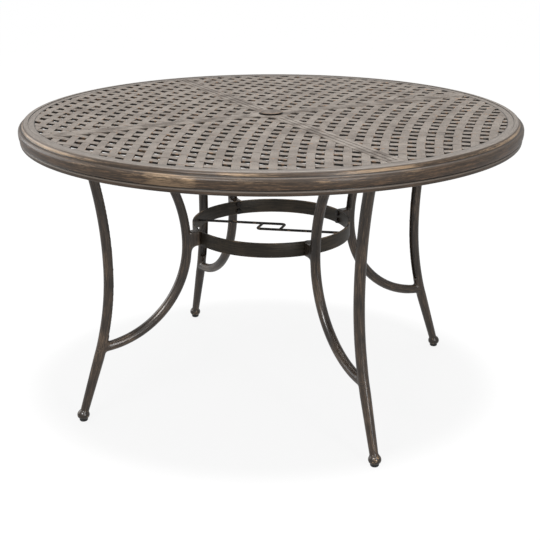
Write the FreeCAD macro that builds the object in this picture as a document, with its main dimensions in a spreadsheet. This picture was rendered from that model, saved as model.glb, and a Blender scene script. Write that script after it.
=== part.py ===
import FreeCAD, Part
import math
import os
import re
import Sketcher

# Round umbrella table with a woven lattice top on four cast legs.
# Frame: origin on the floor under the middle, +Z up, the legs on the four diagonals, mm.

V = FreeCAD.Vector
UP = V(0, 0, 1)

# Driving dimensions
SIZES = {
    # Top
    "table_height": 720,
    "top_radius": 610,
    "panel_radius": 570,
    "deck_drop": 1.5,
    "deck_thickness": 2,
    "rim_depth": 48,
    "rim_wall": 5,
    "shoulder_radius": 24,
    "fascia_fall": 15,
    "fascia_lean": 3.8,
    "groove_depth": 3,
    "groove_width": 3.4,
    # Lattice of bowed strips
    "panel_thickness": 6,
    "panel_lap": 10,
    "strip_pitch": 39.2,
    "strip_width": 19.4,
    "edge_web": 4,
    "cross_bow_radius": 1993,
    "cross_bow_apex": 124,
    "cross_phase": -26.1,
    "long_bow_radius": 2425,
    "long_bow_apex": 247.5,
    "long_phase": 10.6,
    # Spokes and hub
    "spoke_width": 38,
    "spoke_drop": 1,
    "spoke_depth": 20,
    "spoke_wall": 5,
    "spoke_skin": 6,
    "rib_groove_width": 2.5,
    "rib_groove_depth": 1.2,
    "rib_groove_offset": 7,
    "rib_groove_margin": 12,
    "boss_margin": 9,
    "hub_radius": 48,
    "hub_depth": 26,
    "hub_bore_radius": 21,
    # Cap of the umbrella hole
    "cap_radius": 29,
    "cap_height": 6,
    "cap_bevel_width": 13,
    "cap_bevel_height": 3.4,
    "cap_stem_length": 14,
    "cap_clearance": 0.1,
    # Legs
    "post_width": 26.5,
    "ankle_width": 20.4,
    "post_waist_radius": 435.5,
    "post_waist_height": 383,
    "post_upper_radius": 1050,
    "post_lower_radius": 706,
    "post_splay": 18.4,
    "post_channel_turn": 13.8,
    "brace_width": 25,
    "brace_waist_radius": 232,
    "brace_waist_height": 419,
    "brace_upper_radius": 340,
    "brace_upper_turn": 45,
    "brace_lower_radius": 235,
    "channel_width": 15.5,
    "channel_depth": 13,
    "head_plate_thickness": 6,
    "head_plate_width": 34,
    "head_plate_start": 345,
    "head_plate_end": 502,
    "leg_bolt_inner": 408,
    "leg_bolt_outer": 443,
    # Hoop and the lugs that carry it
    "hoop_radius": 200,
    "hoop_thickness": 5,
    "hoop_height": 36,
    "hoop_level": 428.5,
    "lug_width": 26,
    "lug_web_height": 24,
    "hoop_bolt_spacing": 20,
    # Pole guide rods
    "rod_radius": 3.25,
    "rod_bend_radius": 8,
    "guide_half_length": 29,
    "guide_half_width": 29,
    "guide_end_offset": 3,
    "guide_lap": 1,
    # Feet
    "ball_radius": 15.5,
    "ball_top": 25,
    "ball_mid": 15.5,
    "ball_bottom": 7.5,
    "ball_band": 5,
    "ball_neck_radius": 11.4,
    "ball_sole_radius": 10.8,
    "glide_radius": 10.4,
    "glide_sole_radius": 7.5,
    "glide_round": 4,
    # Fasteners
    "hoop_bolt_radius": 4,
    "hoop_bolt_flats": 13,
    "hoop_bolt_head": 5.3,
    "hoop_bolt_grip": 14,
    "hoop_bolt_clamped": 5,
    "leg_bolt_radius": 3,
    "leg_bolt_flats": 10,
    "leg_bolt_head": 4,
    "leg_bolt_grip": 12,
    "leg_bolt_clamped": 6,
    "thread_clearance": 0.05,
    "bolt_clearance": 0.4,
    "hole_relief": 1,
}

CORNERS = (("right_rear", 45), ("left_rear", 135), ("left_front", 225), ("right_front", 315))
QUARTERS = (("right", 0), ("rear", 90), ("left", 180), ("front", 270))

# Sides of the round forms: the legs' bars, the feet, the bolts' shanks and holes, the rods, and the cap.
BAR_SIDES = 8
FOOT_SIDES = 12
BOLT_SIDES = 8
ROD_SIDES = 8
CAP_SIDES = 24

# Points on the arc of the rim's shoulder, and on the hidden outer edge of a lattice panel.
SHOULDER_POINTS = 3
PANEL_EDGE_POINTS = 6

# A gap between strips has a point at every so many strips, and is left out if shorter than a share of one.
STRIPS_PER_POINT = 5
SHORTEST_GAP = 0.4

doc = FreeCAD.newDocument("umbrella_table")
sheet = doc.addObject("Spreadsheet::Sheet", "Sizes")
for row, (alias, value) in enumerate(SIZES.items(), start=1):
    sheet.set(f"A{row}", alias)
    sheet.set(f"B{row}", str(value))
    sheet.setAlias(f"B{row}", alias)
doc.recompute()

ALIASES = re.compile(r"\b(" + "|".join(sorted(SIZES, key=len, reverse=True)) + r")\b")


def bound(text):
    """An expression on the sheet's sizes, written with their bare names."""
    return ALIASES.sub(r"Sizes.\1", str(text))


def size(text):
    """The number that such an expression gives."""
    found = sheet.evalExpression(bound(text))
    return float(getattr(found, "Value", found))


def bind(thing, **properties):
    """Ties each named property of an object to an expression; __ stands for a dot."""
    for name, text in properties.items():
        thing.setExpression(name.replace("__", "."), bound(text))


# Heights and places that several pieces share
DECK = "(table_height - deck_drop)"
SPOKE_TOP = "(table_height - spoke_drop)"
SPOKE_FOOT = "(table_height - spoke_drop - spoke_depth)"
HEAD_FOOT = "(table_height - spoke_drop - spoke_depth - head_plate_thickness)"
HOOP_TOP = "(hoop_level + hoop_height / 2)"
HOOP_FOOT = "(hoop_level - hoop_height / 2)"
HOOP_INNER = "(hoop_radius - hoop_thickness)"
POST_TURN_RADIUS = "(post_waist_radius + post_lower_radius * (1 - cos(post_splay)))"
POST_TURN_HEIGHT = "(post_waist_height - post_lower_radius * sin(post_splay))"
FOOT_RADIUS = f"({POST_TURN_RADIUS} + ({POST_TURN_HEIGHT} - ball_mid) * tan(post_splay))"
PANEL_TOP = "(table_height - deck_drop - deck_thickness)"


HOOP_BOLT_LEVELS = [f"(hoop_level + {side} * hoop_bolt_spacing / 2)" for side in (-1, 1)]


# Sketch helpers
def new_body(label, turn=0):
    body = doc.addObject("PartDesign::Body", label)
    body.Label = label
    body.Placement = FreeCAD.Placement(V(0, 0, 0), FreeCAD.Rotation(UP, turn))
    return body


def new_sketch(body, name, role, offset=(0, 0, 0), tilt=0):
    """A sketch on one of the body's origin planes, moved in that plane's own axes and tilted about its Y."""
    sketch = body.newObject("Sketcher::SketchObject", f"{body.Label}_{name}")
    plane = [f for f in body.Origin.OriginFeatures if f.Role == role][0]
    sketch.AttachmentSupport = [(plane, "")]
    sketch.MapMode = "FlatFace"
    base = V(*[size(place) for place in offset])
    sketch.AttachmentOffset = FreeCAD.Placement(base, FreeCAD.Rotation(V(0, 1, 0), size(tilt)))
    for axis, text in zip("xyz", offset):
        if text != 0:
            sketch.setExpression(f"AttachmentOffset.Base.{axis}", bound(text))
    if tilt != 0:
        sketch.setExpression("AttachmentOffset.Rotation.Angle", bound(tilt))
    return sketch


def hold(sketch, kind, text, *where):
    """Adds a dimension to the sketch and ties it to an expression."""
    index = sketch.addConstraint(Sketcher.Constraint(kind, *where, size(text)))
    sketch.setExpression(f"Constraints[{index}]", bound(text))


def pin_point(sketch, item, end, x, y):
    hold(sketch, "DistanceX", x, -1, 1, item, end)
    hold(sketch, "DistanceY", y, -1, 1, item, end)


def draw_side(sketch, start, finish, radius_text):
    """One side of an outline, and which of its ends is its start and which its finish."""
    if radius_text is None:
        return sketch.addGeometry(Part.LineSegment(start, finish), False), (1, 2)
    radius = abs(size(radius_text))
    way = math.copysign(1, size(radius_text))
    chord = finish - start
    left = V(-chord.y, chord.x, 0).normalize()
    inset = math.sqrt(max(radius * radius - chord.Length ** 2 / 4, 0))
    centre = (start + finish) / 2 + left * inset * way
    angles = [math.atan2(end.y - centre.y, end.x - centre.x) for end in (start, finish)]
    if way < 0:
        angles.reverse()
    item = sketch.addGeometry(Part.ArcOfCircle(Part.Circle(centre, UP, radius), *angles), False)
    return item, (1, 2) if way > 0 else (2, 1)


def draw_outline(sketch, corners, rounds=None, closed=True):
    """An outline through corners (x, y); rounds gives the radius of the side that leaves a corner.

    The side bulges to the right of its way where the radius is positive, and to the left otherwise."""
    rounds = rounds or {}
    points = [V(size(x), size(y), 0) for x, y in corners]
    count = len(points) if closed else len(points) - 1
    sides = []
    for index in range(count):
        finish = points[(index + 1) % len(points)]
        sides.append(draw_side(sketch, points[index], finish, rounds.get(index)))
    for index, (item, ends) in enumerate(sides):
        if closed or index:
            before, before_ends = sides[index - 1]
            sketch.addConstraint(
                Sketcher.Constraint("Coincident", before, before_ends[1], item, ends[0])
            )
        pin_point(sketch, item, ends[0], *corners[index])
        if index in rounds:
            hold(sketch, "Radius", f"abs({rounds[index]})", item)
    if not closed:
        item, ends = sides[-1]
        pin_point(sketch, item, ends[1], *corners[-1])


def draw_circle(sketch, x, y, radius):
    centre = V(size(x), size(y), 0)
    item = sketch.addGeometry(Part.Circle(centre, UP, size(radius)), False)
    pin_point(sketch, item, 3, x, y)
    hold(sketch, "Radius", radius, item)


def draw_axis(sketch, x):
    """A construction line along the sketch's Y at x, as the axis of a revolution."""
    reach = 10
    ends = (V(size(x), -reach, 0), V(size(x), reach, 0))
    item = sketch.addGeometry(Part.LineSegment(*ends), True)
    sketch.addConstraint(Sketcher.Constraint("Vertical", item))
    pin_point(sketch, item, 1, x, -reach)
    hold(sketch, "DistanceY", 2 * reach, item, 1, item, 2)


def feature(body, kind, name, sketch, **properties):
    made = body.newObject(f"PartDesign::{kind}", f"{body.Label}_{name}")
    made.Profile = sketch
    for key, value in properties.items():
        setattr(made, key, value)
    return made


def pad(body, name, sketch, length, midplane=False, downward=False):
    made = feature(body, "Pad", name, sketch, Midplane=midplane, Reversed=downward)
    bind(made, Length=length)


def pocket(body, name, sketch, length, along_normal=False):
    made = feature(body, "Pocket", name, sketch, Reversed=along_normal)
    bind(made, Length=length)
    return made


def revolve_round(body, name, sketch):
    """A full turn about the sketch's own Y axis."""
    feature(body, "Revolution", name, sketch, ReferenceAxis=(sketch, ["V_Axis"]), Angle=360)


def sweep_arc(body, kind, name, section, axis, angle, downward=False):
    """Adds or cuts the sweep of a section, given as plane and outline, about a level line at x = axis."""
    (place, tilt), outline = section
    sketch = new_sketch(body, f"{name}_section", "XY_Plane", place, tilt)
    draw_axis(sketch, axis)
    draw_outline(sketch, outline)
    made = feature(body, kind, name, sketch, ReferenceAxis=(sketch, ["Axis0"]), Reversed=downward)
    bind(made, Angle=angle)


def many_sided_pad(body, name, sides, x, radius, foot, height):
    """A round form about the upright line at x, as a many-sided pad from a height upwards."""
    section = new_sketch(body, f"{name}_section", "XY_Plane", (0, 0, foot))
    draw_outline(section, polygon(sides, x, 0, f"2 * {radius}"))
    pad(body, name, section, height)
    doc.recompute()
    return body.Tip


def end_face(shape, upper):
    """The number and width of a form's top or bottom face, or zeros where there is no form."""
    faces = sorted(enumerate(shape.Faces, start=1), key=lambda item: item[1].CenterOfMass.z)
    if not faces:
        return 0, 0
    number, face = faces[-1 if upper else 0]
    return number, face.BoundBox.XLength


def bevel_end(body, name, base, upper, inwards, along):
    """Bevels the edge of a pad's top or bottom face, so far inwards and so far along the pad."""
    number, width = end_face(base.Shape, upper)
    made = body.newObject("PartDesign::Chamfer", f"{body.Label}_{name}")
    made.Base = (base, [f"Face{number}"])
    made.ChamferType = "Two distances"
    bind(made, Size=inwards, Size2=along)
    doc.recompute()
    wanted = width - 2 * size(inwards)
    if not math.isclose(end_face(made.Shape, upper)[1], wanted, abs_tol=0.01):
        made.FlipDirection = True
        doc.recompute()
    return made


def rectangle(x0, y0, x1, y1):
    return [(x0, y0), (x1, y0), (x1, y1), (x0, y1)]


def polygon(sides, x, y, width):
    """A regular polygon about (x, y) with a flat on each side of it, its width measured across flats."""
    step = 360 / sides
    corners = []
    for k in range(sides):
        angle = (k + 0.5) * step
        corners.append((f"{x} + {width} / 2 / cos({step / 2}) * cos({angle})",
                        f"{y} + {width} / 2 / cos({step / 2}) * sin({angle})"))
    return corners


def bolt_hole(x, y, radius, clearance):
    return polygon(BOLT_SIDES, x, y, f"2 * ({radius} + {clearance})")


def channel(face):
    """The section of the channel that is cut into the inner face of a post or a brace."""
    half = "channel_width / 2"
    return rectangle(f"{face} - hole_relief", f"-{half}", f"{face} + channel_depth", half)


# Top
def make_rim():
    """A moulded ring, open underneath: deck, round shoulder, leaning fascia, groove and foot bead."""
    body = new_body("top_rim")
    sketch = new_sketch(body, "profile", "XZ_Plane")
    shoulder = "(table_height - shoulder_radius)"
    crest = "(top_radius - shoulder_radius)"
    face = "(top_radius - fascia_lean)"
    foot = "(table_height - rim_depth)"
    groove = f"({shoulder} - fascia_fall - groove_width)"
    arc = []
    for k in range(SHOULDER_POINTS + 1):
        angle = 90 - 90 * k / SHOULDER_POINTS
        arc.append((f"{crest} + shoulder_radius * cos({angle})",
                    f"{shoulder} + shoulder_radius * sin({angle})"))
    draw_outline(sketch, [("panel_radius", DECK), (crest, DECK)] + arc + [
        (face, f"{shoulder} - fascia_fall"),
        (f"{face} - groove_depth", groove),
        (face, foot),
        (f"{face} - rim_wall", foot),
        (crest, PANEL_TOP),
        ("panel_radius", PANEL_TOP),
    ])
    revolve_round(body, "ring", sketch)
    return body


def lattice_point(across, along):
    """The place of a point that is given in strips; both families of strips are gentle arcs."""
    pitch = size("strip_pitch")
    x = size("cross_phase") + pitch * across
    y = size("long_phase") + pitch * along
    straight_x = x
    straight_y = y
    for _ in range(12):
        x = straight_x + (y - size("cross_bow_apex")) ** 2 / (2 * size("cross_bow_radius"))
        y = straight_y + (x - size("long_bow_apex")) ** 2 / (2 * size("long_bow_radius"))
    return V(x, y, 0)


def quarter_face(turn, margin, lap):
    """The plan of a quarter between two spokes, the hub and the rim, drawn in by a margin.

    Its outer edge is a chain of chords, whose corners lie beyond the rim's inner edge by the lap."""
    half = size("spoke_width / 2") + margin
    inner = size("hub_radius") + margin
    outer = size("panel_radius") + lap

    def at(radius, angle):
        return V(math.cos(math.radians(angle)), math.sin(math.radians(angle)), 0) * radius

    def corner(radius, side):
        """Where a circle meets the line beside a spoke, on one side of the quarter."""
        return at(radius, turn + side * (45 - math.degrees(math.asin(half / radius))))

    spread = 45 - math.degrees(math.asin(half / outer))
    steps = [2 * k / PANEL_EDGE_POINTS - 1 for k in range(PANEL_EDGE_POINTS + 1)]
    rim_side = [at(outer, turn + step * spread) for step in steps]
    hub_side = Part.Arc(corner(inner, 1), at(inner, turn), corner(inner, -1))
    edges = Part.makePolygon([corner(inner, -1)] + rim_side + [corner(inner, 1)]).Edges
    return Part.Face(Part.Wire(edges + [hub_side.toShape()]))


def gap_face(place, run_along):
    """The bowed gap between two neighbouring strips of one family, right across the table."""
    half_gap = (1 - size("strip_width") / size("strip_pitch")) / 2
    reach = STRIPS_PER_POINT * math.ceil(size("top_radius / strip_pitch") / STRIPS_PER_POINT)
    steps = range(-reach, reach + 1, STRIPS_PER_POINT)
    sides = ([(step, place - half_gap) for step in steps],
             [(step, place + half_gap) for step in reversed(steps)])
    points = []
    for side in sides:
        for step, level in side:
            across, along = (level, step) if run_along else (step, level)
            points.append(lattice_point(across, along))
    return Part.Face(Part.makePolygon(points + points[:1]))


def make_lattice_layer(name, turn, layer, run_along, top):
    """One layer of a quarter's lattice: a framed row of strips, each gap cut right through."""
    panel = doc.addObject("Part::Feature", f"lattice_{name}_{layer}")
    thickness = size("panel_thickness") / 2
    window = quarter_face(turn, size("edge_web"), 0)
    reach = math.ceil(size("top_radius / strip_pitch"))
    shortest = SHORTEST_GAP * (size("strip_pitch") - size("strip_width")) * size("strip_pitch")
    gaps = []
    for place in range(-reach, reach + 1):
        seen = gap_face(place, run_along).common(window)
        gaps += [face for face in seen.Faces if face.Area > shortest]
    drop = V(0, 0, -thickness)
    solid = quarter_face(turn, 0, size("panel_lap")).extrude(drop).cut(Part.makeCompound(gaps).extrude(drop))
    panel.Shape = solid.Solids[0]
    panel.Placement = FreeCAD.Placement(V(0, 0, top), FreeCAD.Rotation())
    return panel


def make_lattice(name, turn):
    """Two crossed layers of strips, which leave a through hole in every mesh."""
    top = size(PANEL_TOP)
    middle = top - size("panel_thickness") / 2
    return [
        make_lattice_layer(name, turn, "upper", False, top),
        make_lattice_layer(name, turn, "lower", True, middle),
    ]


def make_spoke(name, turn):
    """A flat bar from hub to rim: three ribs on top, hollow below, with a block for the leg's bolts."""
    body = new_body(f"spoke_{name}", turn)
    half = "(spoke_width / 2)"
    plan = new_sketch(body, "plan", "XY_Plane", (0, 0, SPOKE_TOP))
    draw_outline(plan, rectangle(0, f"-{half}", "top_radius", half))
    pad(body, "bar", plan, "spoke_depth", downward=True)

    ends = new_sketch(body, "ends", "XY_Plane", (0, 0, SPOKE_TOP))
    draw_circle(ends, 0, 0, "hub_radius")
    draw_circle(ends, 0, 0, "panel_radius")
    draw_circle(ends, 0, 0, "top_radius + spoke_width")
    pocket(body, "end_arcs", ends, "spoke_depth")

    grooves = new_sketch(body, "grooves", "XY_Plane", (0, 0, SPOKE_TOP))
    for side in (-1, 1):
        middle = f"{side} * rib_groove_offset"
        draw_outline(grooves, rectangle(
            "hub_radius + rib_groove_margin", f"{middle} - rib_groove_width / 2",
            "panel_radius - rib_groove_margin", f"{middle} + rib_groove_width / 2"))
    pocket(body, "ribs", grooves, "rib_groove_depth")

    hollow = new_sketch(body, "hollow", "XY_Plane", (0, 0, SPOKE_FOOT))
    spans = (
        ("hub_radius + spoke_wall", "leg_bolt_inner - boss_margin"),
        ("leg_bolt_outer + boss_margin", "panel_radius - spoke_wall"),
    )
    for start, end in spans:
        draw_outline(hollow, rectangle(start, f"spoke_wall - {half}", end, f"{half} - spoke_wall"))
    pocket(body, "underside", hollow, "spoke_depth - spoke_skin", along_normal=True)

    tapped = new_sketch(body, "tapped", "XY_Plane", (0, 0, SPOKE_FOOT))
    for place in ("leg_bolt_inner", "leg_bolt_outer"):
        draw_outline(tapped, bolt_hole(place, 0, "leg_bolt_radius", "thread_clearance"))
    pocket(body, "thread", tapped, "leg_bolt_grip + hole_relief", along_normal=True)
    return body


def make_hub():
    """The disc at the middle, bored for the umbrella pole."""
    body = new_body("centre_hub")
    sketch = new_sketch(body, "profile", "XZ_Plane")
    foot = f"{SPOKE_TOP} - hub_depth"
    draw_outline(sketch, rectangle("hub_bore_radius", foot, "hub_radius", SPOKE_TOP))
    revolve_round(body, "disc", sketch)
    return body


def make_cap():
    """The domed cap, whose round stem drops into the umbrella hole."""
    body = new_body("hole_cap")
    dome = many_sided_pad(body, "dome", CAP_SIDES, 0, "cap_radius", SPOKE_TOP, "cap_height")
    bevel_end(body, "bevel", dome, True, "cap_bevel_width", "cap_bevel_height")
    stem = new_sketch(body, "stem_section", "XY_Plane", (0, 0, SPOKE_TOP))
    draw_circle(stem, 0, 0, "hub_bore_radius - cap_clearance")
    pad(body, "stem", stem, "cap_stem_length", downward=True)
    return body


# Legs
def add_post(body):
    """The outer post: a bar bowed inwards at its waist and channelled there, then straight to the foot."""
    waist = ((0, 0, "post_waist_height"), 0)
    rise = f"asin(({HEAD_FOOT} + post_width / 2 - post_waist_height) / post_upper_radius)"
    halves = (
        ("post_upper", "post_upper_radius", rise, rise, False),
        ("post_lower", "post_lower_radius", "post_splay", "post_channel_turn", True),
    )
    for name, radius, bar_turn, channel_turn, downward in halves:
        axis = f"post_waist_radius + {radius}"
        bar = (waist, polygon(BAR_SIDES, "post_waist_radius", 0, "post_width"))
        sweep_arc(body, "Revolution", name, bar, axis, bar_turn, downward)
        groove = (waist, channel("post_waist_radius - post_width / 2"))
        sweep_arc(body, "Groove", f"{name}_channel", groove, axis, channel_turn, downward)

    turn_at = (POST_TURN_RADIUS, 0, POST_TURN_HEIGHT)
    start = new_sketch(body, "shin_start", "XY_Plane", turn_at, "-post_splay")
    draw_outline(start, polygon(BAR_SIDES, 0, 0, "post_width"))
    end_height = "(ball_top - ankle_width / 2)"
    end_radius = f"{POST_TURN_RADIUS} + ({POST_TURN_HEIGHT} - {end_height}) * tan(post_splay)"
    end = new_sketch(body, "shin_end", "XY_Plane", (end_radius, 0, end_height), "-post_splay")
    draw_outline(end, polygon(BAR_SIDES, 0, 0, "ankle_width"))
    feature(body, "AdditiveLoft", "shin", start, Sections=[end], Ruled=True)


def add_brace(body):
    """The inner brace: a round bar below the lug, and above it a channel that opens inwards."""
    waist = ((0, 0, "brace_waist_height"), 0)
    bar = (waist, polygon(BAR_SIDES, "brace_waist_radius", 0, "brace_width"))
    upper_axis = "brace_waist_radius + brace_upper_radius"
    sweep_arc(body, "Revolution", "brace_upper", bar, upper_axis, "brace_upper_turn")
    lower_axis = "brace_waist_radius + brace_lower_radius"
    sweep_arc(body, "Revolution", "brace_lower", bar, lower_axis, 90, downward=True)

    turn_radius = "brace_waist_radius + brace_upper_radius * (1 - cos(brace_upper_turn))"
    turn_height = "(brace_waist_height + brace_upper_radius * sin(brace_upper_turn))"
    turn_at = (turn_radius, 0, turn_height)
    reach = f"({HEAD_FOOT} + brace_width - {turn_height}) / cos(brace_upper_turn)"
    run = new_sketch(body, "brace_run_section", "XY_Plane", turn_at, "brace_upper_turn")
    draw_outline(run, polygon(BAR_SIDES, 0, 0, "brace_width"))
    pad(body, "brace_run", run, reach)

    lug_turn = f"asin(({HOOP_TOP} - brace_waist_height) / brace_upper_radius)"
    lug_place = (f"brace_waist_radius + brace_upper_radius * (1 - cos({lug_turn}))", 0, HOOP_TOP)
    groove = ((lug_place, lug_turn), channel("-brace_width / 2"))
    channel_turn = f"brace_upper_turn * 1 deg - {lug_turn}"
    sweep_arc(body, "Groove", "brace_channel", groove, "brace_upper_radius", channel_turn)
    mouth = new_sketch(body, "run_channel_section", "XY_Plane", turn_at, "brace_upper_turn")
    draw_outline(mouth, channel("-brace_width / 2"))
    pocket(body, "run_channel", mouth, reach, along_normal=True)


def trim_head(body):
    """Cuts the post and the brace off level under the head plate."""
    sketch = new_sketch(body, "head_trim_plan", "XY_Plane", (0, 0, HEAD_FOOT))
    draw_outline(sketch, rectangle(0, "-2 * lug_width", "top_radius", "2 * lug_width"))
    pocket(body, "head_trim", sketch, "2 * brace_width", along_normal=True)


def add_ball(body):
    """The ball foot at the end of the post, flat below for the glide."""
    ball = many_sided_pad(body, "ball", FOOT_SIDES, FOOT_RADIUS, "ball_radius", "ball_bottom",
                          "ball_top - ball_bottom")
    top = bevel_end(body, "ball_top", ball, True, "ball_radius - ball_neck_radius",
                    "ball_top - ball_mid - ball_band / 2")
    bevel_end(body, "ball_sole", top, False, "ball_radius - ball_sole_radius",
              "ball_mid - ball_band / 2 - ball_bottom")


def add_head_plate(body):
    """The plate that joins post and brace under the spoke, with two bolt holes."""
    plan = new_sketch(body, "head_plan", "XY_Plane", (0, 0, HEAD_FOOT))
    draw_outline(plan, rectangle(
        "head_plate_start", "-head_plate_width / 2", "head_plate_end", "head_plate_width / 2"))
    for place in ("leg_bolt_inner", "leg_bolt_outer"):
        draw_outline(plan, bolt_hole(place, 0, "leg_bolt_radius", "bolt_clearance"))
    pad(body, "head", plan, "head_plate_thickness")


def add_lug(body):
    """The block on the brace's inner side that carries the hoop, with a web under it and two tapped holes."""
    half = "(lug_width / 2)"
    plan = new_sketch(body, "lug_plan", "XY_Plane", (0, 0, HOOP_FOOT))
    draw_outline(plan, rectangle(
        HOOP_INNER, f"-{half}", "brace_waist_radius - brace_width / 4", half))
    pad(body, "lug", plan, "hoop_height")
    seat = new_sketch(body, "lug_seat", "XY_Plane", (0, 0, HOOP_FOOT))
    draw_circle(seat, 0, 0, "hoop_radius")
    pocket(body, "lug_face", seat, "hoop_height", along_normal=True)

    web = new_sketch(body, "web_side", "XZ_Plane")
    web_foot = f"({HOOP_FOOT} - lug_web_height)"
    inner_face = (f"brace_waist_radius + brace_lower_radius - sqrt((brace_lower_radius + brace_width / 2)^2"
                  f" - (brace_waist_height - {web_foot})^2)")
    draw_outline(web, [
        ("hoop_radius + hoop_thickness", HOOP_FOOT),
        (inner_face, web_foot),
        ("brace_waist_radius", web_foot),
        ("brace_waist_radius", HOOP_FOOT),
    ], {0: "-lug_web_height"})
    pad(body, "web", web, "brace_width / 2", midplane=True)

    tapped = new_sketch(body, "lug_holes", "YZ_Plane", (0, 0, HOOP_INNER))
    for height in HOOP_BOLT_LEVELS:
        draw_outline(tapped, bolt_hole(0, height, "hoop_bolt_radius", "thread_clearance"))
    depth = "hoop_thickness + hoop_bolt_grip + hole_relief"
    pocket(body, "lug_thread", tapped, depth, along_normal=True)


def make_leg(name, turn):
    """One leg casting, drawn in its own upright plane and turned to its corner."""
    body = new_body(f"leg_{name}", turn)
    add_ball(body)
    add_post(body)
    add_brace(body)
    trim_head(body)
    add_head_plate(body)
    add_lug(body)
    return body


def make_glide(name, turn):
    """The plastic glide that the ball foot stands on."""
    body = new_body(f"glide_{name}", turn)
    pad_feature = many_sided_pad(
        body, "dome", FOOT_SIDES, FOOT_RADIUS, "glide_radius", 0, "ball_bottom")
    bevel_end(body, "sole", pad_feature, False, "glide_radius - glide_sole_radius", "glide_round")
    return body


# Hoop and pole guide
def make_hoop():
    """The flat band that ties the four braces, drilled for two bolts at each."""
    body = new_body("stretcher_hoop", CORNERS[0][1])
    band = new_sketch(body, "section", "XZ_Plane")
    draw_outline(band, rectangle(HOOP_INNER, HOOP_FOOT, "hoop_radius", HOOP_TOP))
    revolve_round(body, "band", band)
    doc.recompute()
    holes = new_sketch(body, "bolt_holes", "YZ_Plane")
    for height in HOOP_BOLT_LEVELS:
        draw_outline(holes, bolt_hole(0, height, "hoop_bolt_radius", "bolt_clearance"))
    cut = pocket(body, "drilled", holes, "hoop_radius + hole_relief", along_normal=True)
    doc.recompute()
    pattern = body.newObject("PartDesign::PolarPattern", "stretcher_hoop_pattern")
    pattern.Originals = [cut]
    pattern.Axis = (band, ["V_Axis"])
    pattern.Angle = 360
    pattern.Occurrences = len(CORNERS)
    body.Tip = pattern
    return body


def make_guide_rod(name, turn):
    """A rod from the hoop to the middle, bent over to meet its twin and close the guide's loop.

    The twin is the same rod turned half a turn about the middle of the table."""
    body = new_body(f"guide_rod_{name}", turn)
    start = (f"-({HOOP_INNER} + guide_lap)", "-guide_end_offset")
    run = f"(guide_half_length + {HOOP_INNER} + guide_lap)"
    rise = "(guide_half_width + guide_end_offset)"
    slant = f"atan({rise} / {run})"
    cut_back = f"rod_bend_radius * tan((90 deg + {slant}) / 2)"
    twin = f"(2 * guide_half_length * {rise} / {run} - guide_half_width)"
    path = new_sketch(body, "path", "XY_Plane", (0, 0, "hoop_level"))
    draw_outline(path, [
        start,
        (f"guide_half_length - {cut_back} * cos({slant})",
         f"guide_half_width - {cut_back} * sin({slant})"),
        ("guide_half_length", f"guide_half_width - {cut_back}"),
        ("guide_half_length", f"{twin} + rod_radius - guide_lap"),
    ], closed=False)
    section = new_sketch(body, "section", "YZ_Plane", (start[1], "hoop_level", start[0]), slant)
    draw_outline(section, polygon(ROD_SIDES, 0, 0, "2 * rod_radius"))
    sweep = feature(body, "AdditivePipe", "rod", section, Transition="Right corner")
    sweep.Spine = (path, [])
    return body


# Fasteners
def make_bolt(name):
    """One hex bolt on the Z axis, its seat at the origin and its shank upwards."""
    head = doc.addObject("Part::Prism", f"{name}_hexagon")
    head.Polygon = 6
    bind(head, Circumradius=f"{name}_flats / 2 / cos(30)", Height=f"{name}_head")
    bind(head, Placement__Base__z=f"-{name}_head")
    shank = doc.addObject("Part::Prism", f"{name}_shank")
    shank.Polygon = BOLT_SIDES
    shank.Placement = FreeCAD.Placement(V(0, 0, 0), FreeCAD.Rotation(UP, 180 / BOLT_SIDES))
    bind(shank, Circumradius=f"{name}_radius / cos({180 / BOLT_SIDES})")
    bind(shank, Height=f"{name}_grip + {name}_clamped")
    bolt = doc.addObject("Part::Fuse", f"{name}_one")
    bolt.Base = head
    bolt.Tool = shank
    doc.recompute()
    return bolt


def place_bolts(label, one, seats):
    """Separate solids of one bolt, as one node: each with its seat and the way that it points."""
    copies = []
    for seat, direction in seats:
        placed = one.Shape.Solids[0].copy()
        placed.Placement = FreeCAD.Placement(seat, FreeCAD.Rotation(UP, direction))
        copies.append(placed)
    group = doc.addObject("Part::Feature", label)
    group.Shape = Part.makeCompound(copies)
    return group


def make_hoop_bolts():
    """The bolts that go out through the hoop into the legs' lugs, two at each."""
    seat_radius = size(f"sqrt({HOOP_INNER}^2 - (hoop_bolt_flats / 2 / cos(30))^2)")
    seats = []
    for _, turn in CORNERS:
        out = V(math.cos(math.radians(turn)), math.sin(math.radians(turn)), 0)
        for height in HOOP_BOLT_LEVELS:
            seats.append((out * seat_radius + UP * size(height), out))
    return place_bolts("hoop_bolts", make_bolt("hoop_bolt"), seats)


def make_leg_bolts():
    """The bolts that go up through the legs' head plates into the spokes, two at each."""
    seats = []
    for _, turn in CORNERS:
        out = V(math.cos(math.radians(turn)), math.sin(math.radians(turn)), 0)
        for place in ("leg_bolt_inner", "leg_bolt_outer"):
            seats.append((out * size(place) + UP * size(HEAD_FOOT), UP))
    return place_bolts("leg_bolts", make_bolt("leg_bolt"), seats)


def check_and_write(pieces):
    """Stops where an object or a piece has failed, and otherwise writes every piece."""
    for item in doc.Objects:
        if {"Invalid", "Error"} & set(item.State):
            raise RuntimeError(f"{item.Label} did not build")
    for piece in pieces:
        shape = piece.Shape
        if shape.isNull() or not shape.isValid() or not shape.Solids:
            raise RuntimeError(f"{piece.Label} has no valid solid")
    os.makedirs("parts", exist_ok=True)
    for piece in pieces:
        piece.Shape.exportStep(f"parts/{piece.Label}.step")
        box = piece.Shape.BoundBox
        print(f"{piece.Label}: {len(piece.Shape.Solids)} solid, "
              f"{piece.Shape.Volume / 1000:.1f} cm3, z {box.ZMin:.1f} to {box.ZMax:.1f}")


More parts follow.
